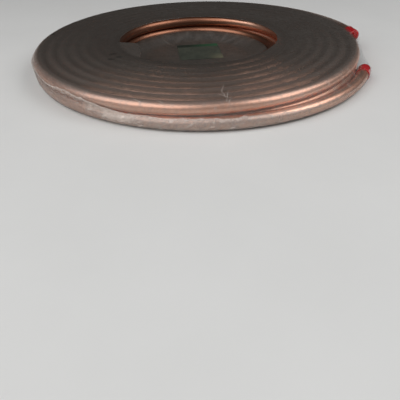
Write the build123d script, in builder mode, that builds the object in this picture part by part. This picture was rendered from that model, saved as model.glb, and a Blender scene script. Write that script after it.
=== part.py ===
"""Soft copper tube in a flat coil of two layers, capped at both ends and sealed in clear shrink film.

The coil lies flat with its axis along Z. The origin is on that axis, at the underside of the film.
X points to the side where both tube ends come out. Lengths are in millimetres, angles in degrees.
"""
from build123d import *
import math
import os

# The tube and how it is wound
tube_diameter = 12.7
tube_wall = 0.8
bore_radius = 90.0
turns_in_layer = 8
layers = 2
web_rise = 2.2

# The two tube ends, which leave the outermost turn of each layer and face each other
tail_sweep = 160.0
upper_end_bearing = 4.0
lower_end_bearing = -22.0
end_clearance = 0.3

# The push-on plastic caps
cap_wall = 0.9
cap_fit = 0.1
cap_grip = 17.0
cap_floor = 1.4
cap_edge_radius = 1.6

# The shrink film
film_thickness = 0.25
film_clearance = 0.15
film_hole_setback = 3.0

# The card that lies in the bore
label_width = 55.0
label_length = 58.0
label_thickness = 0.3
label_corner_radius = 2.0
label_offset_x = 4.0
label_offset_y = 24.0
label_turn = 6.0

# Sizes that follow from those above
tube_radius = tube_diameter / 2
cap_radius = tube_radius + cap_fit + cap_wall
coil_underside = film_thickness + film_clearance
lower_layer_height = coil_underside + tube_radius
upper_layer_height = lower_layer_height + (layers - 1) * tube_diameter
first_turn_radius = bore_radius + tube_radius
last_turn_radius = first_turn_radius + (turns_in_layer - 1) * tube_diameter
coil_height = layers * tube_diameter

# A tube end leaves the last turn on a circle whose centre is half of its outward step off the axis,
# and it ends as far above the floor, or below the top, as its thicker cap needs
cap_proud = cap_radius - tube_radius
tail_shift = (tube_radius + cap_radius + end_clearance) / 2
tail_radius = last_turn_radius + tail_shift


def bearing_vector(bearing):
    """Unit vector in the floor plane at this bearing, counted from X towards Y."""
    angle = math.radians(bearing)
    return Vector(math.cos(angle), math.sin(angle), 0)


class TubeEnd:
    """One end of the tube: the circle it bends round and the plane square to it at its opening.

    side is 1 where the tube runs back from its opening towards Y, and -1 the other way round.
    """

    def __init__(self, bearing, side, layer_height, rise):
        outwards = bearing_vector(bearing)
        sideways = Vector(0, 0, 1).cross(outwards)
        leaving_point = outwards * (tail_shift - tail_radius) + Vector(0, 0, layer_height)
        opening_point = outwards * (tail_shift + tail_radius) + Vector(0, 0, layer_height + rise)
        slope = (opening_point - leaving_point).normalized()
        centre = (opening_point + leaving_point) / 2
        self.axis = Axis(centre, slope.cross(sideways) * side)
        self.plane = Plane(origin=opening_point, x_dir=slope, z_dir=sideways * side)


tube_ends = {
    "end_cap_upper": TubeEnd(upper_end_bearing, 1, upper_layer_height, -cap_proud),
    "end_cap_lower": TubeEnd(lower_end_bearing, -1, lower_layer_height, cap_proud),
}

# Copper tube: the full turns are one turned ring, grooved on every side where tube lies on tube
with BuildPart() as copper_tube:
    with BuildSketch(Plane.XZ) as turn_section:
        for layer in range(layers):
            for turn in range(turns_in_layer):
                turn_radius = first_turn_radius + turn * tube_diameter
                with Locations((turn_radius, lower_layer_height + layer * tube_diameter)):
                    Circle(tube_radius)
        with Locations(((first_turn_radius + last_turn_radius) / 2, coil_underside + coil_height / 2)):
            Rectangle(
                last_turn_radius - first_turn_radius + 2 * web_rise,
                upper_layer_height - lower_layer_height + 2 * web_rise,
            )
    revolve(axis=Axis.Z)

    # Each tube end peels off the last turn and comes to lie beside it
    for tube_end in tube_ends.values():
        with BuildSketch(tube_end.plane):
            Circle(tube_radius)
        revolve(axis=tube_end.axis, revolution_arc=tail_sweep)

    # The tube's own bore, open at both ends under the caps
    for tube_end in tube_ends.values():
        with BuildSketch(tube_end.plane):
            Circle(tube_radius - tube_wall)
        revolve(axis=tube_end.axis, revolution_arc=tail_sweep, mode=Mode.SUBTRACT)

# Soft caps pushed over the tube ends: each bends with its tube and is rounded at its closed end
grip_angle = math.degrees(cap_grip / tail_radius)
end_caps = {}
for name, tube_end in tube_ends.items():
    with BuildPart() as end_cap:
        with BuildSketch(tube_end.plane):
            Circle(cap_radius)
        revolve(axis=tube_end.axis, revolution_arc=grip_angle)
        with BuildSketch(tube_end.plane):
            Circle(cap_radius)
        extrude(amount=-cap_floor)
        outer_rim = end_cap.edges().sort_by(Axis(tube_end.plane.origin, tube_end.plane.z_dir))[0]
        fillet(outer_rim, radius=cap_edge_radius)
        with BuildSketch(tube_end.plane):
            Circle(tube_radius + cap_fit)
        revolve(axis=tube_end.axis, revolution_arc=grip_angle, mode=Mode.SUBTRACT)
    end_caps[name] = end_cap.part

# Shrink film: a closed bag drawn round the tube ends as well, so its centre lies towards them,
# with the round hole in its top that opened over the bore as it shrank
wrap_centre = bearing_vector((upper_end_bearing + lower_end_bearing) / 2) * tail_shift
end_spread = (bearing_vector(upper_end_bearing) * tail_shift - wrap_centre).length
film_inner_radius = tail_radius + cap_radius + end_spread + film_clearance
film_inner_height = coil_height + 2 * film_clearance
film_inner_corner = tube_radius + film_clearance
film_top = film_inner_height + 2 * film_thickness
with BuildPart() as film_inside:
    with BuildSketch(Plane.XY.offset(film_thickness)):
        with Locations((wrap_centre.X, wrap_centre.Y)):
            Circle(film_inner_radius)
    extrude(amount=film_inner_height)
    fillet(film_inside.edges().filter_by(GeomType.CIRCLE), radius=film_inner_corner)
with BuildPart() as shrink_film:
    with BuildSketch(Plane.XY):
        with Locations((wrap_centre.X, wrap_centre.Y)):
            Circle(film_inner_radius + film_thickness)
    extrude(amount=film_top)
    fillet(shrink_film.edges().filter_by(GeomType.CIRCLE), radius=film_inner_corner + film_thickness)
    add(film_inside.part, mode=Mode.SUBTRACT)
    with BuildSketch(Plane.XY.offset(film_top)):
        Circle(bore_radius + film_hole_setback)
    extrude(amount=-coil_height / 2, mode=Mode.SUBTRACT)

# Thin card that lies in the bore on the film
with BuildPart() as label:
    with BuildSketch(Plane.XY.offset(film_thickness)):
        with Locations(Location((label_offset_x, label_offset_y), label_turn)):
            RectangleRounded(label_width, label_length, label_corner_radius)
    extrude(amount=label_thickness)

os.makedirs("parts", exist_ok=True)
pieces = {"copper_tube": copper_tube.part, "shrink_film": shrink_film.part, "label": label.part}
pieces.update(end_caps)
for name, piece in pieces.items():
    piece.label = name
    export_step(piece, f"parts/{name}.step")
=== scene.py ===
import math

import bpy
import numpy as np
from mathutils import Matrix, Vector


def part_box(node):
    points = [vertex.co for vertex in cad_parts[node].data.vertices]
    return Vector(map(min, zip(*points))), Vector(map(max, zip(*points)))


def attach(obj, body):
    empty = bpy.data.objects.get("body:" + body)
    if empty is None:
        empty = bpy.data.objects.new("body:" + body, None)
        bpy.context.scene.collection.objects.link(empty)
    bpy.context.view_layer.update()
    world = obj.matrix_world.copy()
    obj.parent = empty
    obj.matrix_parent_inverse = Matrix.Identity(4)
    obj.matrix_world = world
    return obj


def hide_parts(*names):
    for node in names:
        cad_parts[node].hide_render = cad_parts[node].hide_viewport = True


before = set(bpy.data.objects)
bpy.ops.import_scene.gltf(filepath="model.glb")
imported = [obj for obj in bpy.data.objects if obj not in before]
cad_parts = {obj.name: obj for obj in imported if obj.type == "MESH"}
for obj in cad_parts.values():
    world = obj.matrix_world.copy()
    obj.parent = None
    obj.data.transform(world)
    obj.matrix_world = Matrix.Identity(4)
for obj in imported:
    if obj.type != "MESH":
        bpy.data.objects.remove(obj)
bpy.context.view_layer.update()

scene = bpy.context.scene
scene.view_settings.view_transform = "Standard"

# The room: a plain pale floor under the coil, a wide soft lamp high to its left and another to its right,
# and an even light all round that is dimmer behind. The camera looks down on the coil from its front, a
# little rolled. Points of a piece are in millimetres until they go into its mesh, and shaders read metres.
MM = 0.001
camera_place = np.array([0.0, -508.0, 172.5]) * MM
camera_down = math.radians(38.3)
camera_roll = math.radians(-1.37)
camera_focal = 1.0  # of the sensor's width
floor_half = 3.0
light_in_front = 0.27
light_behind = 0.06


def add_node(tree, kind, inputs=None, **settings):
    """Adds a shader node, sets its own settings, and fills or links the inputs that are named."""
    made = tree.nodes.new(kind)
    for name, value in settings.items():
        setattr(made, name, value)
    for name, value in (inputs or {}).items():
        if isinstance(value, bpy.types.NodeSocket):
            tree.links.new(value, made.inputs[name])
        else:
            made.inputs[name].default_value = value
    return made


def new_material(name):
    """A new material and its node tree, which is empty and ready for a shader."""
    made = bpy.data.materials.new(name)
    made.use_nodes = True
    made.node_tree.nodes.clear()
    return made, made.node_tree


def spread(tree, value, from_low, from_high, to_low, to_high):
    """A value carried in a straight line from one range to another and held at its ends."""
    inputs = {
        "Value": value,
        "From Min": from_low,
        "From Max": from_high,
        "To Min": to_low,
        "To Max": to_high,
    }
    return add_node(tree, "ShaderNodeMapRange", inputs).outputs["Result"]


def mixed(tree, share, first, second):
    """A colour between two colours, or sockets, by a share from 0 to 1."""
    return add_node(tree, "ShaderNodeMix", {0: share, 6: first, 7: second}, data_type="RGBA").outputs[2]


def noise(tree, vector, scale, detail=3.0, roughness=0.5, distortion=0.0):
    """The strength of a noise pattern with so many waves a metre, or a unit of its vector."""
    inputs = {
        "Vector": vector,
        "Scale": scale,
        "Detail": detail,
        "Roughness": roughness,
        "Distortion": distortion,
    }
    return add_node(tree, "ShaderNodeTexNoise", inputs).outputs["Fac"]


def object_place(tree):
    """The place on the object, in metres from its origin."""
    return add_node(tree, "ShaderNodeTexCoord").outputs["Object"]


def surface(tree, inputs):
    """The material's one shader, with its inputs filled, joined to the output."""
    shader = add_node(tree, "ShaderNodeBsdfPrincipled", inputs)
    add_node(tree, "ShaderNodeOutputMaterial", {"Surface": shader.outputs["BSDF"]})


def soft_lamp(name, place, width, height, power):
    """A rectangular lamp at place, in metres, that faces the coil.

    Its Z is the unit vector from the origin to place, its X is level and square to that, and its Y is
    the cross product of Z and X.
    """
    light = bpy.data.lights.new(name, "AREA")
    light.shape = "RECTANGLE"
    light.size = width
    light.size_y = height
    light.energy = power
    lamp = bpy.data.objects.new(name, light)
    away = np.array(place) / np.linalg.norm(place)
    side = np.cross((0, 0, 1), away)
    side = side / np.linalg.norm(side)
    turned = Matrix.Identity(4)
    for row in range(3):
        turned[row][0:4] = side[row], np.cross(away, side)[row], away[row], place[row]
    lamp.matrix_world = turned
    scene.collection.objects.link(lamp)


camera_data = bpy.data.cameras.new("coil_view")
camera_data.lens = camera_data.sensor_width * camera_focal
camera_data.clip_start = 0.01
camera = bpy.data.objects.new("coil_view", camera_data)
camera.matrix_world = (
    Matrix.Translation(camera_place)
    @ Matrix.Rotation(math.pi / 2 - camera_down, 4, "X")
    @ Matrix.Rotation(camera_roll, 4, "Z")
)
scene.collection.objects.link(camera)
scene.camera = camera

soft_lamp("left_lamp", (-0.90, -0.78, 1.15), width=2.1, height=1.4, power=20)
soft_lamp("right_lamp", (1.12, -0.34, 1.15), width=1.4, height=1.0, power=12)
world = bpy.data.worlds.new("dim_room")
world.use_nodes = True
tree = world.node_tree
towards = add_node(tree, "ShaderNodeTexCoord").outputs["Generated"]
split = add_node(tree, "ShaderNodeSeparateXYZ", {"Vector": towards})
dimmer_behind = spread(tree, split.outputs["Y"], -0.7, 0.5, light_in_front, light_behind)
tree.nodes["Background"].inputs["Color"].default_value = (0.90, 0.90, 0.90, 1)
tree.links.new(dimmer_behind, tree.nodes["Background"].inputs["Strength"])
scene.world = world

floor_mesh = bpy.data.meshes.new("pale_floor")
floor_corners = [(x * floor_half, y * floor_half, 0) for x, y in ((-1, -1), (1, -1), (1, 1), (-1, 1))]
floor_mesh.from_pydata(floor_corners, [], [(0, 1, 2, 3)])
pale_floor = bpy.data.objects.new("pale_floor", floor_mesh)
scene.collection.objects.link(pale_floor)
floor_paint, tree = new_material("pale_floor_paint")
cloud = noise(tree, object_place(tree), 9.0, 4.0, 0.6)
tone = mixed(tree, cloud, (0.70, 0.70, 0.69, 1), (0.76, 0.76, 0.75, 1))
surface(tree, {"Base Color": tone, "Roughness": 0.65})
floor_mesh.materials.append(floor_paint)

# The tube: one length of soft half-inch copper, wound inwards as the upper layer, down a step at the inner
# turn and outwards again as the lower layer. Each turn moves in by one diameter over its first part and
# then keeps its radius, and both ends leave the last turn for their caps.
tube_radius = 6.35
tube_wall = 0.8
turn_pitch = 2 * tube_radius
last_turn_radius = 185.25
first_turn_radius = 96.35
upper_height = 19.45
lower_height = 6.75
end_step = 14.0
end_drop = 1.0
opening_radius = last_turn_radius + end_step
opening_depth = 22.0
waver_size = 0.02
# bearings and angles along the tube, in degrees
upper_opening = 4.0
lower_opening = -22.0
layer_turning = 2842.0
crossing_arc = 50.0
moving_arc = 110.0
waver_lengths = (23.0, 41.0, 67.0, 110.0)


def settling(share):
    """A half cosine wave, (1 + cos of pi x share) / 2, which falls from 1 to 0 as share rises to 1."""
    return (1 + np.cos(np.pi * share)) / 2


def eased(share):
    """A share from 0 to 1 made smooth at both ends: its square x (3 - 2 x share)."""
    return share * share * (3 - 2 * share)


def turn_radius(turned):
    """Radius of the tube's centre line after turning by so many degrees inwards from an open end.

    Turn k keeps the last turn's radius less k pitches, and over its first moving_arc degrees a half
    cosine wave brings it there from one step further out. The first step is wider, for the cap.
    """
    turn = np.floor(turned / 360)
    part = turned - 360 * turn
    step = np.where(turn == 0, end_step, turn_pitch)
    return last_turn_radius - turn_pitch * turn + step * settling(np.minimum(part / moving_arc, 1))


def end_shift(turned):
    """How far an open end lies out of its layer's height, a half cosine wave over the moving arc."""
    return end_drop * settling(np.clip(turned / moving_arc, 0, 1))


def tube_line(turned):
    """Points of the tube's centre line in mm, for angles in degrees from the upper to the lower opening.

    Bearing rises evenly. Radius is turn_radius, counted from the nearer opening, and height is the
    layer's, with the end shift, and an eased step between the layers over the crossing arc. A few long
    sine waves are added to both, as soft tube keeps some waver.
    """
    back = 2 * layer_turning + crossing_arc - turned
    crossing = np.clip((turned - layer_turning) / crossing_arc, 0, 1)
    radius = np.where(crossing <= 0, turn_radius(turned), turn_radius(np.minimum(back, layer_turning)))
    radius = np.where((crossing > 0) & (crossing < 1), first_turn_radius, radius)
    height = upper_height - turn_pitch * eased(crossing) - end_shift(turned) + end_shift(back)
    waver = np.random.default_rng(3)
    for length in waver_lengths:
        phase = waver.uniform(0, 360, 2)
        radius = radius + waver_size * np.sin(np.radians(360 * turned / length + phase[0]))
        height = height + waver_size * np.sin(np.radians(360 * turned / length + phase[1]))
    bearing = np.radians(upper_opening + turned)
    return np.stack([radius * np.cos(bearing), radius * np.sin(bearing), height], -1)


def rings_along(line_angles, reach, around):
    """Rings of the given reach about the tube's line, each square to it where it stands.

    A ring's point is the centre + reach x (cos a x across + sin a x up), where across is the level
    normal that points away from the coil's axis, and up is square to it and to the line.
    """
    step = 0.05
    along = tube_line(line_angles + step) - tube_line(line_angles - step)
    along /= np.linalg.norm(along, axis=1)[:, None]
    across = np.cross(along, (0, 0, 1))
    across /= np.linalg.norm(across, axis=1)[:, None]
    up = np.cross(across, along)
    a = np.linspace(0, 2 * np.pi, around, endpoint=False)
    spoke = np.cos(a)[None, :, None] * across[:, None] + np.sin(a)[None, :, None] * up[:, None]
    return tube_line(line_angles)[:, None] + reach[:, None, None] * spoke


def piece_from_rows(name, rows, mark=None, marks=None):
    """Makes a piece from rows of points in mm that each close on themselves.

    Neighbouring rows are joined by four-sided faces. A first or last row that is a single point becomes a
    pole with three-sided faces. marks are three numbers for each point, kept in the attribute that mark
    names.
    """
    count, around = rows.shape[:2]
    index = np.arange(count * around).reshape(count, around)
    poles = [row for row in (0, count - 1) if np.ptp(rows[row], axis=0).max() < 1e-6]
    for row in poles:
        index[row] = index[row, 0]
    used, new = np.unique(index, return_inverse=True)
    index = new.reshape(index.shape)
    a, b = index[:-1], index[1:]
    faces = np.stack([a, np.roll(a, -1, 1), np.roll(b, -1, 1), b], -1)
    first = [] if 0 not in poles else faces[0][:, [0, 2, 3]].tolist()
    last = [] if count - 1 not in poles else faces[-1][:, [0, 1, 2]].tolist()
    between = faces[1 if first else 0 : -1 if last else None].reshape(-1, 4).tolist()
    mesh = bpy.data.meshes.new(name)
    mesh.from_pydata((rows.reshape(-1, 3)[used] * MM).tolist(), [], first + between + last)
    mesh.polygons.foreach_set("use_smooth", np.ones(len(mesh.polygons), bool))
    if mark:
        kept = mesh.attributes.new(mark, "FLOAT_VECTOR", "POINT")
        kept.data.foreach_set("vector", marks.reshape(-1, 3)[used].astype(np.float32).ravel())
    made = bpy.data.objects.new(name, mesh)
    scene.collection.objects.link(made)
    return made


tube_around = 22
tube_ring_count = 1913
tube_angles = np.linspace(0, 2 * layer_turning + crossing_arc, tube_ring_count)

# an open end, from its rounded cut edge down the tube's bore to where the mesh closes it
inside_share = np.array([0.0, 0.0, 0.12, 1.0, 1.0])
inside_depth = np.degrees(opening_depth / opening_radius) * inside_share
inside_reach = tube_radius - np.array([0.12, tube_wall - 0.1, tube_wall, tube_wall, tube_radius])
whole_angles = np.concatenate([inside_depth[::-1], tube_angles, tube_angles[-1] - inside_depth])
whole_reach = np.concatenate([inside_reach[::-1], np.full(len(tube_angles), tube_radius), inside_reach])
tube_rings = rings_along(whole_angles, whole_reach, tube_around)

# where a point is on the tube: the cosine and sine of its angle round it, and the length of tube before it
steps = np.linalg.norm(np.diff(tube_line(whole_angles), axis=0), axis=1)
run = np.concatenate([[0], np.cumsum(steps)])
round_angle = np.linspace(0, 2 * np.pi, tube_around, endpoint=False)
drawn = np.stack(
    np.broadcast_arrays(np.cos(round_angle)[None], np.sin(round_angle)[None], run[:, None] * MM), -1
)
copper_coil = piece_from_rows("copper_tube_wound", tube_rings[:, ::-1], "drawn", drawn[:, ::-1])


def math_node(tree, operation, first, second):
    """One operation on two values, such as their sum, product or larger one."""
    return add_node(tree, "ShaderNodeMath", {0: first, 1: second}, operation=operation).outputs["Value"]


def vector_node(tree, operation, inputs, output="Vector"):
    """One operation on vectors, which go in by number or name, and the output of it that is named."""
    return add_node(tree, "ShaderNodeVectorMath", inputs, operation=operation).outputs[output]


def stretched(tree, vector, scale):
    """A vector with each of its three parts multiplied by a number of its own."""
    return add_node(tree, "ShaderNodeMapping", {"Vector": vector, "Scale": scale}).outputs["Vector"]


def bump(tree, height, strength, distance):
    """Normals tilted by the slope of a height, which is counted in so many metres for each 1 of it."""
    inputs = {"Height": height, "Strength": strength, "Distance": distance}
    return add_node(tree, "ShaderNodeBump", inputs).outputs["Normal"]


def in_the_plan(tree, place):
    """A place with its height set to 0, and its distance from the coil's axis in metres."""
    flat = vector_node(tree, "MULTIPLY", {0: place, 1: (1.0, 1.0, 0.0)})
    return flat, vector_node(tree, "LENGTH", {0: flat}, "Value")


soft_copper, tree = new_material("soft_drawn_copper")
drawn_at = add_node(tree, "ShaderNodeAttribute", attribute_name="drawn").outputs["Vector"]
here = object_place(tree)
streaks = noise(tree, stretched(tree, drawn_at, (9.0, 9.0, 2.2)), 1.0, 6.0, 0.7)
bloom = noise(tree, stretched(tree, drawn_at, (0.6, 0.6, 7.0)), 1.0)
bloom = spread(tree, bloom, 0.30, 0.72, 0.0, 1.0)
stain = spread(tree, noise(tree, here, 160.0, 5.0, 0.65), 0.58, 0.75, 0.0, 0.45)
base = mixed(tree, bloom, (0.68, 0.35, 0.235, 1), (0.82, 0.50, 0.37, 1))
base = mixed(tree, stain, base, (0.50, 0.23, 0.155, 1))

# the inner turn is painted dark brown inside the film's hole, with an uneven edge: painted shade for the
# wall of the bore
flat_here, from_axis = in_the_plan(tree, here)
from_axis = math_node(tree, "ADD", from_axis, spread(tree, bloom, 0.0, 1.0, -0.0012, 0.0012))
bore_wall_shade = spread(tree, from_axis, 0.0945, 0.1000, 0.88, 0.0)
surface(
    tree,
    {
        # the dark brown here is painted shade on the bore's wall
        "Base Color": mixed(tree, bore_wall_shade, base, (0.21, 0.083, 0.046, 1)),
        "Metallic": 1.0,
        "Roughness": spread(tree, streaks, 0.3, 0.7, 0.28, 0.42),
        "Normal": bump(tree, streaks, 0.25, 0.0004),
    },
)
copper_coil.data.materials.append(soft_copper)
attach(copper_coil, "root")
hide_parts("copper_tube")

# The two caps: dip-moulded red vinyl, pushed over the tube's ends while soft. Each has a thicker rolled
# mouth, a body that grips the tube, and a rounded closed end with the small nib that the dip leaves.
cap_grip = 17.0
cap_end = 1.4
cap_gap = 0.06
cap_around = 40
cap_outline = np.array(
    [
        # distance along the tube from its opening, distance from the tube's axis
        (-cap_end, 0.0),
        (-cap_end, 0.55),
        (-1.05, 0.95),
        (-1.00, 2.6),
        (-0.92, 4.4),
        (-0.62, 5.6),
        (-0.10, 6.45),
        (0.70, 7.00),
        (1.80, 7.22),
        (3.60, 7.26),
        (6.0, 7.20),
        (9.0, 7.16),
        (12.0, 7.14),
        (14.6, 7.14),
        (15.3, 7.20),
        (15.8, 7.31),
        (16.3, 7.34),
        (16.75, 7.24),
        (cap_grip, 6.95),
        (cap_grip, 6.60),
        (16.8, tube_radius + cap_gap),
        (12.0, tube_radius + cap_gap),
        (6.0, tube_radius + cap_gap),
        (0.2, tube_radius + cap_gap),
        (-cap_gap, tube_radius - 0.3),
        (-cap_gap, 3.0),
        (-cap_gap, 0.0),
    ]
)
red_vinyl, tree = new_material("red_vinyl")
here = object_place(tree)
cloud = noise(tree, here, 130.0)
skin_grain = noise(tree, here, 700.0, 4.0, 0.6)
redder = spread(tree, cloud, 0.3, 0.7, 0.0, 1.0)
surface(
    tree,
    {
        "Base Color": mixed(tree, redder, (0.33, 0.002, 0.005, 1), (0.50, 0.005, 0.011, 1)),
        "Roughness": spread(tree, skin_grain, 0.3, 0.7, 0.09, 0.18),
        "Normal": bump(tree, cloud, 0.35, 0.0015),
    },
)


def cap_piece(name, opening_angle, inwards):
    """A cap carried along the tube's own line: its outline turned about that line.

    Each of its distances along the tube, over the radius of the tube's line there, is an angle on it.
    inwards is 1 where the tube runs on from this opening with rising angle, and -1 at the other end.
    """
    angle = opening_angle + inwards * np.degrees(cap_outline[:, 0] / opening_radius)
    rings = rings_along(angle, cap_outline[:, 1], cap_around)
    return piece_from_rows(name, rings[:, ::-1] if inwards > 0 else rings)


for name, angle, inwards in (("end_cap_upper", 0.0, 1), ("end_cap_lower", tube_angles[-1], -1)):
    cap = cap_piece(name + "_moulded", angle, inwards)
    cap.data.materials.append(red_vinyl)
    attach(cap, "root")
    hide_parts(name)

# The upper sheet of the shrink film: thin clear film drawn tight over the top and down the side by heat.
# It bridges from turn to turn, sinks into the groove between the layers, is tucked under the coil, and
# has shrunk back from a round hole over the bore to a rolled edge, with one loose flap at the left.
film_gap = 0.16
film_wall = 0.1
film_columns = 640
degrees = np.arange(film_columns) * 360 / film_columns
bearings = np.radians(degrees)
middle_height = (upper_height + lower_height) / 2
side_foot = 0.4
side_half = middle_height - side_foot
room_margin = 0.1
box_low, box_high = (np.array(corner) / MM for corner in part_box("shrink_film"))
film_room = (box_high[0] - box_low[0]) / 2 - room_margin
room_centre = (box_high + box_low) / 2


def hump(value, centre, width):
    """A bump, 1 at its centre: e to the minus of (distance from the centre / width) squared."""
    return np.exp(-(((value - centre) / width) ** 2))


def ramp(value, start, length):
    """A straight rise from 0 at start to 1 at a length past it, level before and after."""
    return np.clip((value - start) / length, 0, 1)


def evenly(value, rows):
    """One value, or one row of values round the coil, on as many rows as are given."""
    return np.broadcast_to(value, (len(rows), film_columns))


def near(centre, width, power=1):
    """A bump round one bearing: e to the minus of (distance / width) squared, itself to a power."""
    away = (degrees - centre + 180) % 360 - 180
    return np.exp(-(((away / width) ** 2) ** power))


def round_the_coil(places, values):
    """Values at all bearings, in straight lines between the given places."""
    return np.interp(degrees, places, values, period=360)


def wandering(seed, waves):
    """A smooth random curve round the coil between about -1 and 1, the sum of sine waves."""
    random = np.random.default_rng(seed)
    phase = random.uniform(0, 2 * np.pi, len(waves))
    size = random.uniform(0.5, 1.0, len(waves))
    curve = (size[:, None] * np.sin(np.array(waves)[:, None] * bearings[None] + phase[:, None])).sum(0)
    return curve / size.sum()


def creases(seed, counts, rise, across):
    """Sharp-topped folds between 0 and 1, from plane waves round the coil.

    Each wave is 1 - |sin|, of half its count x bearing, plus a random lean, up to rise, x the distance
    across the sheet, plus a slow warp. Their mean is taken, and its square sharpens the tops.
    """
    random = np.random.default_rng(seed)
    total = np.zeros(np.broadcast_shapes(across.shape, bearings.shape))
    for count in counts:
        lean, phase, slow = random.uniform(-rise, rise), random.uniform(0, 2 * np.pi), random.integers(2, 9)
        warp = 0.9 * np.sin(slow * bearings + phase + across * 0.13)
        total = total + 1 - np.abs(np.sin(count * bearings / 2 + lean * across + phase + warp))
    return (total / len(counts)) ** 2


def outer_reach(heights):
    """Distance from the axis to the outside of the tube and caps, by height and bearing.

    At each bearing the outermost turn of each layer is a circle in section, a cap's where a cap covers
    it. The reach is the further of the two circles at that height, or nothing where neither is there.
    A cap covers the first degrees after its opening, and its closed end a little before it.
    """
    cap_starts, cap_stops = 359.4, 5.0
    reach = np.zeros((len(heights), film_columns))
    for opening, towards, height, rise in (
        (upper_opening, 1, upper_height, -1),
        (lower_opening, -1, lower_height, 1),
    ):
        turned = towards * (degrees - opening) % 360
        before = turned > cap_starts
        turned = np.where(before, 0.0, turned)
        capped = before | (turned < cap_stops)
        section = np.where(capped, tube_radius + end_drop, tube_radius)
        level = height + rise * end_shift(turned)
        inside = section**2 - (heights[:, None] - level) ** 2
        found = turn_radius(turned) + np.sqrt(np.maximum(inside, 0))
        reach = np.maximum(reach, np.where(inside > 0, found, 0))
    return reach


def drawn_tight(reach, heights):
    """The tightest skin round the outside: hollows in plan and then in height are bridged straight.

    In plan, the support in a direction is the largest reach x cos(angle between), and the skin at a
    bearing is the smallest support / cos(angle between). In height, the skin is the smallest, over all
    slopes, of the lowest line of that slope that passes over the reach.
    """
    least_facing, unseen = 0.3, 1e3
    steepest, slope_count = 1.45, 121
    facing = np.cos(bearings[:, None] - bearings[None])
    seen = np.where(facing > least_facing, 1 / np.maximum(facing, least_facing), unseen)
    tight = np.array([((row[None] * facing).max(1)[:, None] * seen).min(0) for row in reach])
    slopes = np.tan(np.linspace(-steepest, steepest, slope_count))[:, None, None]
    lines = (tight[None] - slopes * heights[None, :, None]).max(1)
    return (lines[:, None] + slopes * heights[None, :, None]).min(0)


def kept_in(reach):
    """Reach held inside the room for the film: a circle about a centre that lies off the coil's axis.

    At a bearing the circle is c cos(b) + sqrt(R squared - (c sin(b)) squared) away.
    """
    offset = np.hypot(room_centre[0], room_centre[1])
    turned = bearings - np.arctan2(room_centre[1], room_centre[0])
    room = offset * np.cos(turned) + np.sqrt(film_room**2 - (offset * np.sin(turned)) ** 2)
    return np.minimum(reach, room)


# the side, from its foot to its top: it sinks into the groove between the layers, stands out in folds
# where it is slack, and in a loose ear at the left
skin_levels = 44
side_share = 0.9995
groove_sinking = 1.8
ear_out = 4.6
side_waves = [64, 97, 131, 170, 210]
up_the_side = np.linspace(0, 1, skin_levels)
skin_heights = middle_height - side_half * side_share * np.cos(np.pi * up_the_side)
bare_reach = outer_reach(skin_heights)
over_groove = hump(skin_heights[:, None], middle_height, 3.4)
sinking = groove_sinking * (1 + 0.45 * wandering(5, [2, 5, 9, 14, 23])) * over_groove
on_side = np.sin(np.pi * up_the_side)[:, None]
side_folds = creases(21, side_waves, 0.35, skin_heights[:, None])
ear = ear_out * near(195, 10) * hump(skin_heights[:, None], 14.0, 7.0)
slack = 0.25 + 0.5 * near(215, 30) + 0.3 * near(100, 40) - 0.12 * near(325, 30)
skin = np.maximum(drawn_tight(bare_reach, skin_heights) - sinking, bare_reach)
skin = skin + film_gap + on_side * (ear * (0.6 + 0.4 * side_folds) + slack * side_folds)
skin = kept_in(skin)


def skin_at(heights):
    """Reach of the upper sheet at heights for every bearing, in straight lines between its levels."""
    level = np.clip(np.searchsorted(skin_heights, heights) - 1, 0, skin_levels - 2)
    share = (heights - skin_heights[level]) / (skin_heights[level + 1] - skin_heights[level])
    column = np.arange(film_columns)[None]
    share = np.clip(share, 0, 1)
    return (1 - share) * skin[level, column] + share * skin[level + 1, column]


side_rows = 24
downwards = np.cos(np.pi * np.linspace(0, 1, side_rows))[:, None]
side_z = middle_height + side_half * side_share * downwards + np.zeros(film_columns)
side_reach = skin_at(side_z)
side_z = side_z + film_gap * downwards

# the hole's edge, and the flap at its left: a tongue with a straight end, between two bearings
flap_bearing, flap_end = 189.1, 70.4
flap_starts, flap_stops = 186.5, 228.0
flap_edge = flap_end / np.cos(np.minimum(np.abs(bearings - np.radians(flap_bearing)), 0.9))
flap_share = eased(ramp(degrees, flap_starts, 3.0) * ramp(-degrees, -flap_stops, 5.0))
hole_places = [0, 45, 90, 150, 228, 270, 310, 340]
hole_reach = round_the_coil(hole_places, [98.5, 96.5, 94.6, 93.6, 93.2, 93.0, 94.2, 97.5])
hole_reach = hole_reach + 0.5 * wandering(8, [3, 5, 8, 13]) + 0.15 * wandering(18, [31, 47])
hole_reach = hole_reach + (flap_edge + 0.7 * wandering(19, [13, 21, 34]) - hole_reach) * flap_share

# the top, from the hole outwards: the first rows reach into the bore, the others lie on the turns
turns_from = 101.0
bore_rows, turn_rows = 9, 33
over_bore = hole_reach + (turns_from - hole_reach) * np.linspace(0, 1, bore_rows + 1)[:-1, None]
over_turns = turns_from + (side_reach[0] - turns_from) * np.linspace(0, 1, turn_rows)[:, None]
top_reach = np.concatenate([over_bore, over_turns])

# how far a point is from a turn's crest, counted in turns, so that whole numbers lie on crests
turned_here = (degrees - upper_opening) % 360
outermost, next_turn = turn_radius(turned_here), turn_radius(turned_here + 360)
phase = np.where(
    top_reach < next_turn,
    (next_turn - top_reach) / turn_pitch,
    np.clip((top_reach - next_turn) / (outermost - next_turn), 0, 1),
)
between_turns = (1 - np.cos(2 * np.pi * phase)) / 2

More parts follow.
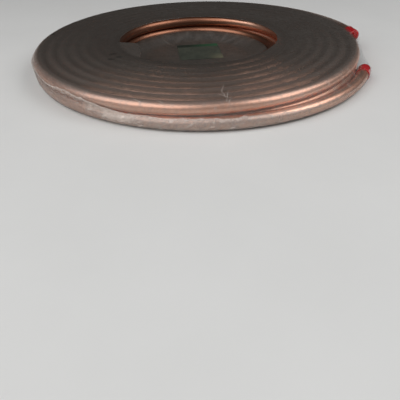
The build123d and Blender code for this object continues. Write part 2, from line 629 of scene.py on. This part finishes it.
# its height: hollow between the turns, most so in front and outwards, crinkled like crepe at the right,
# behind and in front of the bore, puckered round the hole, and falling away in folds along the flap
on_turns_from = 100.0
hollow_depth = 0.34
crepe_depth = 0.34
pucker_depth = 0.12
droop_from = 96
flap_droop = 0.0045
flap_fold_depth = 0.9
front = near(272, 62)
outwards = ramp(top_reach, on_turns_from, 85.0)
deeper = (0.30 + 0.75 * outwards) * front
hollow = (hollow_depth + deeper + 0.14 * wandering(9, [3, 7, 11, 17])) * between_turns
hollow = hollow * ramp(top_reach, on_turns_from, 6.0)
crepe_share = np.clip(near(20, 75) + near(110, 40) * 0.6, 0, 1) * ramp(top_reach, 104.0, 12.0)
crepe_share = crepe_share + near(250, 26) * hump(top_reach, 112.0, 13.0)
crepe = creases(31, [150, 190, 233], 0.55, top_reach)
pucker = creases(32, [88, 120, 163], 0.02, top_reach)
pucker = pucker * np.exp(-np.clip(top_reach - on_turns_from, 0, None) / 9)
past_turn = np.clip(droop_from - top_reach, 0, 40)
flap_folds = creases(33, [40, 61, 90], 0.05, top_reach) * ramp(past_turn, 0, 8.0)
top_z = side_z[0] - hollow
top_z = top_z - crepe_depth * crepe * crepe_share * (0.3 + 0.7 * between_turns) - pucker_depth * pucker
top_z = top_z - flap_droop * past_turn**2 - flap_fold_depth * flap_folds

# apart from the flap it is bent down over the inner turn, on a circle a little larger than the tube's
cling_gap = 0.3
cling_radius = tube_radius + cling_gap
least_rise = 2.0
over_turn = cling_radius**2 - (first_turn_radius - top_reach) ** 2
over_turn = np.sqrt(np.maximum(over_turn, least_rise**2)) + upper_height
bending = (top_reach < first_turn_radius) * (1 - flap_share)
top_z = top_z + (np.minimum(top_z, over_turn) - top_z) * bending
top_x, top_y = top_reach * np.cos(bearings), top_reach * np.sin(bearings)


def crease_line(x, y, start, end, width):
    """A narrow hump along a straight line in the plan, by the distance from its nearest point."""
    start, run = np.array(start), np.array(end) - np.array(start)
    share = np.clip(((x - start[0]) * run[0] + (y - start[1]) * run[1]) / (run @ run), 0, 1)
    away = np.hypot(x - start[0] - share * run[0], y - start[1] - share * run[1])
    return hump(away, 0, width)


# small dents, at the left rim and by the flap, with painted shade in them: more dark veil and less white
nick_width = 1.7
nick_depth = 0.5
nicks = ((-191.5, 30.1), (-186.1, 38.5), (-183.0, 25.0), (-93.2, -72.9), (-93.6, -56.8), (-85.5, -67.1))
dents_and_shade = sum(crease_line(top_x, top_y, (x, y), (x + 1.5, y + 0.5), nick_width) for x, y in nicks)
dents_and_shade = np.clip(dents_and_shade, 0, 1)
top_z = top_z - nick_depth * dents_and_shade * between_turns

# the rolled edge of the hole, as thick as the room over the inner turn lets it be
least_roll, most_roll = 0.08, 0.35
roll_gap = 0.05
curled_by = 1.4 * np.pi
copper_top = tube_radius**2 - (hole_reach - 0.5 - first_turn_radius) ** 2
copper_top = upper_height + np.sqrt(np.maximum(copper_top, 0))
roll = np.clip((top_z[0] - copper_top) / 2 - roll_gap, least_roll, most_roll)
curl = np.linspace(-curled_by, 0, 7)[:-1, None]
roll_reach = hole_reach + roll * np.sin(curl)
roll_z = top_z[0] - roll + roll * np.cos(curl)

# the tuck under the coil
tuck = np.array([[3.0], [9.0], [16.0]])
tuck_reach = side_reach[-1] - tuck * (1 + 0.3 * wandering(12, [5, 9, 17, 29]))
tuck_z = evenly(side_z[-1], tuck)

upper_reach = np.concatenate([roll_reach, top_reach, side_reach[1:], tuck_reach])
upper_z = np.concatenate([roll_z, top_z, side_z[1:], tuck_z])
upper_rows = np.stack([upper_reach * np.cos(bearings), upper_reach * np.sin(bearings), upper_z], -1)

# how cloudy, how white and how crinkled the film is at each point, clearest where it spans from cap to cap.
# On the top the cloud is a dark brown veil, thinner in front and outwards and thickest behind and at the
# sides: painted shade for the dark top. On the crests in front the white share is raised as a painted sheen
by_caps = near(351, 23, 4)
# dark veil over the top, less of it in front: painted shade
top_veil_and_shade = 0.60 - 0.30 * front * (0.25 + 0.75 * outwards) + 0.05 * wandering(14, [2, 3, 7])
top_veil_and_shade = top_veil_and_shade + 0.08 * between_turns + 0.20 * flap_folds + 0.40 * dents_and_shade
top_veil_and_shade = top_veil_and_shade * (1 - by_caps * ramp(top_reach, 187.0, 5.0))
# whiter on the crests in front and outwards: a painted sheen of the film's gloss
top_white_and_sheen = 0.045 + 0.25 * front * outwards * (1.25 - between_turns)
top_white_and_sheen = top_white_and_sheen + 0.035 * flap_share * ramp(past_turn, 0, 6.0)
top_white_and_sheen = top_white_and_sheen + 0.12 * pucker * near(330, 50) - 0.3 * dents_and_shade
top_white_and_sheen = np.clip(top_white_and_sheen, 0, 1)
folded = creases(21, side_waves, 0.35, side_z)
side_cloud = 0.04 + 0.12 * near(225, 40) + 0.22 * folded + (0.20 + 0.80 * folded) * near(195, 12)
side_cloud = side_cloud * (1 - by_caps)
side_white = 0.55 + 0.4 * folded
shoulder = ramp(np.linspace(0, 1, side_rows)[:, None], 0, 0.22)
side_cloud = top_veil_and_shade[-1] + (side_cloud - top_veil_and_shade[-1]) * shoulder
side_white = top_white_and_sheen[-1] + (side_white - top_white_and_sheen[-1]) * shoulder
cloud_rows = [evenly(0.55, curl), top_veil_and_shade, side_cloud[1:], evenly(side_cloud[-1], tuck)]
white_rows = [evenly(0.16, curl), top_white_and_sheen, side_white[1:], evenly(side_white[-1], tuck)]
crinkled_top = 0.15 + 0.8 * crepe_share + 0.3 * flap_folds
crinkled_side = 0.35 + 0.4 * folded
crinkled_rows = [evenly(0.4, curl), crinkled_top, crinkled_side[1:], evenly(0.4, tuck)]
upper_look = np.stack([np.concatenate(rows) for rows in (cloud_rows, white_rows, crinkled_rows)], -1)

clear_film, tree = new_material("clear_shrink_film")
here = object_place(tree)
look = add_node(tree, "ShaderNodeAttribute", attribute_name="film_look").outputs["Vector"]
look = add_node(tree, "ShaderNodeSeparateXYZ", {"Vector": look})
clouded, whitened, crinkled = look.outputs["X"], look.outputs["Y"], look.outputs["Z"]
crinkle = noise(tree, here, 330.0, 6.0, 0.65, 0.6)
veil = noise(tree, here, 34.0, 5.0, 0.6, 1.2)
specks = spread(tree, noise(tree, here, 1500.0, 2.0), 0.66, 0.74, 1.0, 1.35)

# fine lines drawn round the coil: a noise that runs fast with the distance from the axis, slowly round it
flat_here, from_axis = in_the_plan(tree, here)
facing = vector_node(tree, "NORMALIZE", {0: flat_here})
facing = add_node(tree, "ShaderNodeSeparateXYZ", {"Vector": facing})
along_turn = add_node(
    tree,
    "ShaderNodeCombineXYZ",
    {
        "X": math_node(tree, "MULTIPLY", from_axis, 420.0),
        "Y": math_node(tree, "MULTIPLY", facing.outputs["X"], 7.0),
        "Z": math_node(tree, "MULTIPLY", facing.outputs["Y"], 7.0),
    },
).outputs["Vector"]
drawn_lines = noise(tree, along_turn, 1.0, 5.0, 0.6)
on_turns = spread(tree, from_axis, 0.097, 0.106, 0.0, 1.0)
line_veil = spread(tree, drawn_lines, 0.30, 0.70, 0.88, 1.12)
creased = math_node(tree, "MULTIPLY", spread(tree, crinkle, 0.50, 0.72, 0.0, 0.9), crinkled)
cloudy = math_node(tree, "MULTIPLY", clouded, spread(tree, veil, 0.30, 0.70, 0.84, 1.16))
cloudy = math_node(tree, "MULTIPLY", cloudy, specks)
cloudy = math_node(tree, "MULTIPLY", cloudy, line_veil)
cloudy = math_node(tree, "MULTIPLY", cloudy, math_node(tree, "ADD", creased, 1.0))
rougher = math_node(tree, "ADD", math_node(tree, "MULTIPLY", whitened, 0.10), 0.17)
rougher = math_node(tree, "ADD", rougher, math_node(tree, "MULTIPLY", crinkled, 0.22))


def scratch(tree, flat_place, start, end, width):
    """A fine mark along a straight line in the plan, from 1 on it to 0 at its width away.

    The nearest point of the line is its start + its run x the share of it that the place has passed,
    which is (place - start) . run / run squared, held between 0 and 1.
    """
    begin = (start[0] * MM, start[1] * MM, 0.0)
    run = ((end[0] - start[0]) * MM, (end[1] - start[1]) * MM, 0.0)
    from_start = vector_node(tree, "SUBTRACT", {0: flat_place, 1: begin})
    along = vector_node(tree, "DOT_PRODUCT", {0: from_start, 1: run}, "Value")
    share = spread(tree, along, 0.0, run[0] ** 2 + run[1] ** 2, 0.0, 1.0)
    nearest = vector_node(tree, "SCALE", {0: run, "Scale": share})
    away = vector_node(tree, "DISTANCE", {0: from_start, 1: nearest}, "Value")
    return spread(tree, away, 0.25 * width * MM, width * MM, 1.0, 0.0)


scratches = (
    # start, end and width
    ((24.5, -150.0), (22.0, -163.0), 0.5),
    ((22.0, -163.0), (24.5, -176.0), 0.6),
    ((27.5, -164.0), (25.0, -186.0), 0.6),
    ((30.0, -176.0), (27.0, -187.0), 0.5),
    ((18.0, -171.0), (29.0, -177.0), 0.4),
    ((-36.0, -181.0), (-30.0, -186.0), 0.5),
    ((-58.0, -176.0), (-50.0, -182.0), 0.5),
    ((52.0, -172.0), (60.0, -180.0), 0.4),
)
scratched = scratch(tree, flat_here, *scratches[0])
for mark in scratches[1:]:
    scratched = math_node(tree, "MAXIMUM", scratched, scratch(tree, flat_here, *mark))
height = math_node(tree, "MULTIPLY", crinkle, crinkled)
line_height = math_node(tree, "MULTIPLY", math_node(tree, "MULTIPLY", drawn_lines, on_turns), 0.5)
height = math_node(tree, "ADD", height, line_height)
whiter = math_node(tree, "ADD", whitened, math_node(tree, "MULTIPLY", scratched, 0.45))
cloudy = math_node(tree, "ADD", cloudy, math_node(tree, "MULTIPLY", scratched, 0.22))
# the film's colour runs from a near-black brown, the painted shade of the top and of the bore, to a milky
# white
surface(
    tree,
    {
        "Base Color": mixed(tree, whiter, (0.026, 0.021, 0.016, 1), (0.72, 0.60, 0.53, 1)),
        "Roughness": rougher,
        "IOR": 2.2,
        "Alpha": spread(tree, cloudy, 0.0, 1.0, 0.009, 1.0),
        "Normal": bump(tree, height, 0.65, 0.0008),
    },
)


def film_sheet(name, rows, sheet_look):
    """A film sheet with its look at each point and its wall, half of it on each side of the rows."""
    sheet = piece_from_rows(name, rows, "film_look", sheet_look)
    wall = sheet.modifiers.new("film_thickness", "SOLIDIFY")
    wall.thickness = film_wall * MM
    wall.offset = 0.0
    sheet.data.materials.append(clear_film)
    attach(sheet, "root")
    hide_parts("shrink_film")


film_sheet("film_upper_sheet", upper_rows[:, ::-1], upper_look[:, ::-1])

# The lower sheet of the film: it spans the bore as a slack skin under the card, clings a little way up the
# inner turn, passes under the coil and comes up the side over the upper sheet, to a gathered ragged edge
# that shows white where it has shrunk into folds.
card_centre = (4.0, 24.0)
card_half = (27.5, 29.0)
card_turn = math.radians(6.0)
sheet_low = 0.12
flat_radius = 63.0
bore_radius = 90.0
rim_height = 8.4
bore_fold_rise = 0.8
pulled_rise = 0.4
pleat_rise = 1.1

# across the bore: level in the middle, then a slope up to the inner turn, which it follows down and under
flat_reach = np.array([0.0, 5.0, 10.0, 16.0, 22.0, 28.0, 34.0, 40.0, 46.0, 52.0, 58.0])[:, None]
cling_low = np.degrees(np.arcsin((rim_height - lower_height) / cling_radius))
cling = np.radians(np.linspace(180 - cling_low, 270, 6))[:, None]
cling_reach = evenly(first_turn_radius + cling_radius * np.cos(cling), cling)
cling_z = evenly(lower_height + cling_radius * np.sin(cling), cling)
slope_rows = 12
slope_share = np.linspace(0, 1, slope_rows + 1)[:-1, None]
slope_reach = flat_radius + (cling_reach[0] - flat_radius) * slope_share
bore_reach = np.concatenate([evenly(flat_reach, flat_reach), slope_reach])
bore_x, bore_y = bore_reach * np.cos(bearings), bore_reach * np.sin(bearings)
from_card = np.stack([bore_x - card_centre[0], bore_y - card_centre[1]])
card_u = from_card[0] * np.cos(card_turn) + from_card[1] * np.sin(card_turn)
card_v = from_card[1] * np.cos(card_turn) - from_card[0] * np.sin(card_turn)
beyond_card = np.maximum(np.abs(card_u) - card_half[0], np.abs(card_v) - card_half[1])
off_card = ramp(beyond_card, 1.0, 9.0)
rising = ramp(bore_reach, flat_radius, bore_radius - flat_radius)
bore_folds = creases(41, [9, 14, 23, 31], 0.07, bore_reach) * ramp(bore_reach, 0, 25.0)
wall_pleats = creases(42, [47, 71, 104], 0.03, bore_reach) * rising
pulled_lines = (
    ((30.5, 57.0), (43.5, 74.0)),
    ((33.0, 52.0), (37.0, 30.0)),
    ((34.0, 57.0), (58.0, 62.0)),
    ((37.0, 20.0), (52.0, 2.0)),
    ((-27.0, 50.0), (-44.0, 62.0)),
)
pulled = sum(crease_line(bore_x, bore_y, start, end, 1.3) for start, end in pulled_lines)
bore_z = sheet_low + (rim_height - sheet_low) * eased(rising)
bore_z = bore_z + off_card * (bore_fold_rise * bore_folds + pulled_rise * pulled)
bore_z = bore_z + pleat_rise * wall_pleats * (1 - rising)

# under the coil, from below the inner turn to the foot of the upper sheet's side
under_share = np.linspace(0, 1, 8)[1:, None]
under_reach = first_turn_radius + (side_reach[-1] - first_turn_radius) * under_share
under_z = evenly(sheet_low, under_share)

# up the side, over the upper sheet, to an edge whose height wanders round the coil
edge_lowest, edge_highest = 3.2, 23.5
gather_out = 0.75
fine_gather_out = 0.3
edge_out = 0.45
edge_places = [20, 60, 100, 140, 165, 182, 192, 206, 215, 219, 226, 231]
edge_places += [235, 240, 243, 247, 252, 270, 285, 300, 315, 330, 345]
edge_heights = [12, 9, 12, 10, 12, 17, 21, 22.5, 20.5, 19.8, 22.2, 22.2]
edge_heights += [21.2, 19, 16.8, 14.8, 13.8, 13.6, 13.2, 12.2, 11.4, 12, 13]
edge_height = round_the_coil(edge_places, edge_heights)
ragged = creases(44, [43, 67, 97, 161], 0.0, np.zeros(1))
edge_height = edge_height + 1.5 * (ragged - 0.25) + 0.6 * wandering(45, [11, 17, 26, 40])
edge_height = np.clip(edge_height, edge_lowest, edge_highest)
rise_share = np.linspace(0, 1, 27)[1:, None] ** 1.6
rise_z = skin_heights[0] + (edge_height - skin_heights[0]) * rise_share
to_edge = edge_height - rise_z
gather = creases(46, [96, 140, 187, 229], 0.30, rise_z)
fine_gather = creases(47, [230, 290, 318], 0.8, rise_z)
free_edge = np.exp(-to_edge / 2.2)
folds_out = gather_out * gather + fine_gather_out * fine_gather
stand_off = film_gap + folds_out * (0.35 + 0.65 * np.exp(-to_edge / 6))
rise_reach = kept_in(skin_at(rise_z) + stand_off + edge_out * free_edge)
rise_z = rise_z - film_gap * (1 - rise_share)

lower_reach = np.concatenate([bore_reach, cling_reach, under_reach, rise_reach])
lower_z = np.concatenate([bore_z, cling_z, under_z, rise_z])
lower_rows = np.stack([lower_reach * np.cos(bearings), lower_reach * np.sin(bearings), lower_z], -1)
lower_rows[0, :, 2] = sheet_low

# its look: whitest in the folds towards its edge and at the left, clear where it spans from cap to cap
by_the_edge = np.exp(-to_edge / 5.5)
at_the_edge = hump(to_edge, 0, 2.0)
strong = 0.38 + 0.50 * near(228, 22) + 0.22 * near(264, 24) - 0.32 * near(316, 28)
patchy = 0.55 + 0.45 * wandering(48, [6, 11, 19, 27])
shrunk = near(241, 5, 2) * hump(rise_z, 15, 5) + near(248, 5, 2) * hump(rise_z, 9, 4)
slanting = ramp(creases(49, [58, 77, 103], 0.8, rise_z), 0.26, 0.4)
at_the_left = 0.20 + 0.80 * near(222, 34, 2)
rise_cloud = 0.05 + strong * (0.03 + 0.24 * by_the_edge * patchy) * (0.35 + gather)
rise_cloud = rise_cloud + 0.34 * slanting * strong
rise_cloud = rise_cloud + 0.50 * at_the_edge * at_the_left * (0.4 + 0.6 * patchy) + 0.32 * shrunk
rise_cloud = rise_cloud + 0.16 * near(270, 26, 2) * ramp(rise_z, 0, 3.0)
rise_cloud = rise_cloud * (1 - by_caps)
rise_white = 0.60 + 0.4 * np.clip(gather + slanting + at_the_edge + shrunk, 0, 1)
# across the bore the film is a near-opaque, near-black veil: painted shade for the dark bore
bore_shade_veil = 0.92 + 0.06 * bore_folds
bore_white = 0.01 + 0.05 * bore_folds + 0.05 * pulled * off_card + 0.04 * wall_pleats
cloud_rows = [bore_shade_veil, evenly(0.55, cling), evenly(0.25, under_share), rise_cloud]
white_rows = [bore_white, evenly(0.15, cling), evenly(0.4, under_share), rise_white]
crinkled_rise = 0.45 + 0.55 * by_the_edge
crinkled_rows = [evenly(1.1, bore_reach), evenly(0.8, cling), evenly(0.3, under_share), crinkled_rise]
lower_look = np.stack([np.concatenate(rows) for rows in (cloud_rows, white_rows, crinkled_rows)], -1)
film_sheet("film_lower_sheet", lower_rows, lower_look)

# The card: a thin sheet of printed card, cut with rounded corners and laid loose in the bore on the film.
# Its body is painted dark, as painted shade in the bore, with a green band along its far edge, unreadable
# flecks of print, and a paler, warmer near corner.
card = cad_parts["label"]
printed_card, tree = new_material("printed_card")
card_place = {
    "Vector": object_place(tree),
    "Location": (card_centre[0] * MM, card_centre[1] * MM, 0.0),
    "Rotation": (0.0, 0.0, card_turn),
}
place = add_node(tree, "ShaderNodeMapping", card_place, vector_type="TEXTURE").outputs["Vector"]
split = add_node(tree, "ShaderNodeSeparateXYZ", {"Vector": place})
across_card, up_card = split.outputs["X"], split.outputs["Y"]
fibre = noise(tree, place, 900.0, 4.0)
blotch = noise(tree, place, 60.0, 4.0, 0.6)
wavy_up = math_node(tree, "ADD", up_card, spread(tree, blotch, 0.3, 0.7, -0.0008, 0.0008))
band_share = spread(tree, wavy_up, 0.0185, 0.0200, 0.0, 1.0)
greener = spread(tree, across_card, -0.012, 0.026, 0.0, 1.0)
band_tone = mixed(tree, greener, (0.005, 0.012, 0.007, 1), (0.011, 0.070, 0.028, 1))
paler = spread(tree, blotch, 0.3, 0.7, 0.0, 1.0)
# the card's body tone is dark: painted shade
body_shade_tone = mixed(tree, paler, (0.023, 0.028, 0.020, 1), (0.050, 0.056, 0.041, 1))
print_share = math_node(
    tree,
    "MULTIPLY",
    spread(tree, noise(tree, place, 420.0, 2.0), 0.55, 0.60, 0.0, 0.65),
    spread(tree, noise(tree, place, 75.0, 2.0), 0.46, 0.60, 0.0, 1.0),
)
printed = mixed(tree, print_share, body_shade_tone, (0.012, 0.017, 0.012, 1))
# a paler, warmer patch towards one near corner
warm_corner = math_node(
    tree,
    "MULTIPLY",
    spread(tree, across_card, 0.008, 0.024, 0.0, 1.0),
    spread(tree, up_card, -0.008, -0.024, 0.0, 1.0),
)
card_with_warm_corner = mixed(tree, warm_corner, printed, (0.10, 0.095, 0.060, 1))
surface(
    tree,
    {
        "Base Color": mixed(tree, band_share, card_with_warm_corner, band_tone),
        "Roughness": spread(tree, fibre, 0.3, 0.7, 0.50, 0.68),
        "Normal": bump(tree, fibre, 0.2, 0.0002),
    },
)
card.data.materials.clear()
card.data.materials.append(printed_card)
